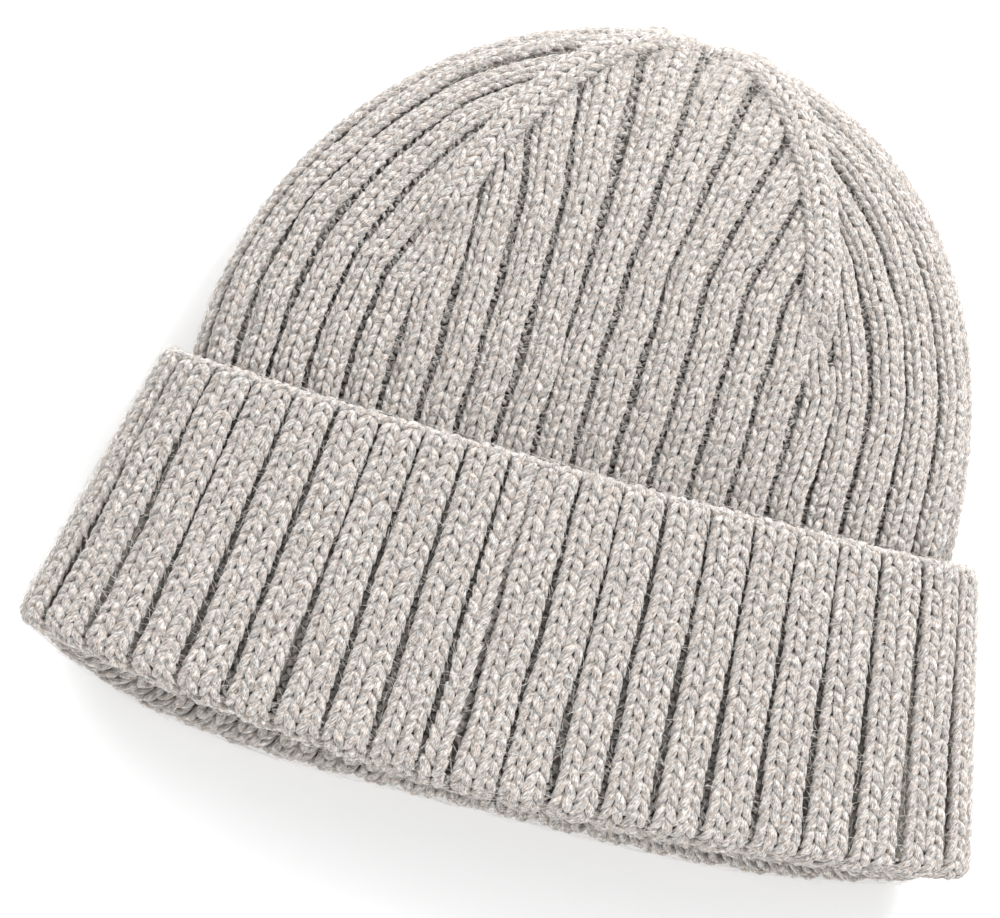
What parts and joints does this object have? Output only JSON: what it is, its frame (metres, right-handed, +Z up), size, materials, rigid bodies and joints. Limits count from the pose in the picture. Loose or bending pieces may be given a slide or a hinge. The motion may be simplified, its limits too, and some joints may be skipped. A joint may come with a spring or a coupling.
{
  "type": "knit beanie",
  "caption": "Chunky rib-knit beanie with a deep turned-up cuff and a domed crown drawn in along raised seams, lying on its front.",
  "frame": {"origin": "on the table under the middle of the hat, which lies on its front", "axes": "+X across the hat, +Y from the brim to the crown, +Z up from the table, out of the hat's back"},
  "size_m": [0.2464, 0.2026, 0.0459],
  "materials": {
    "rib_knit": "matte, heathered wool",
    "crown_rib": "matte, heathered wool",
    "start_edge": "matte, heathered wool",
    "linked_seam": "matte, heathered wool"
  },
  "bodies": {
    "root": {"body_tube": "rib_knit", "body_seam": "linked_seam", "cuff_band": "rib_knit", "cuff_seam": "linked_seam", "cuff_fold": "rib_knit", "cuff_start_edge": "start_edge", "back_gore": "rib_knit", "front_gore": "rib_knit", "left_gore": "rib_knit", "right_gore": "rib_knit", "crown_seam_back_right": "crown_rib", "crown_seam_back_left": "crown_rib", "crown_seam_front_left": "crown_rib", "crown_seam_front_right": "crown_rib", "crown_tip": "crown_rib", "crown_draw_thread": "linked_seam"}
  },
  "joints": []
}
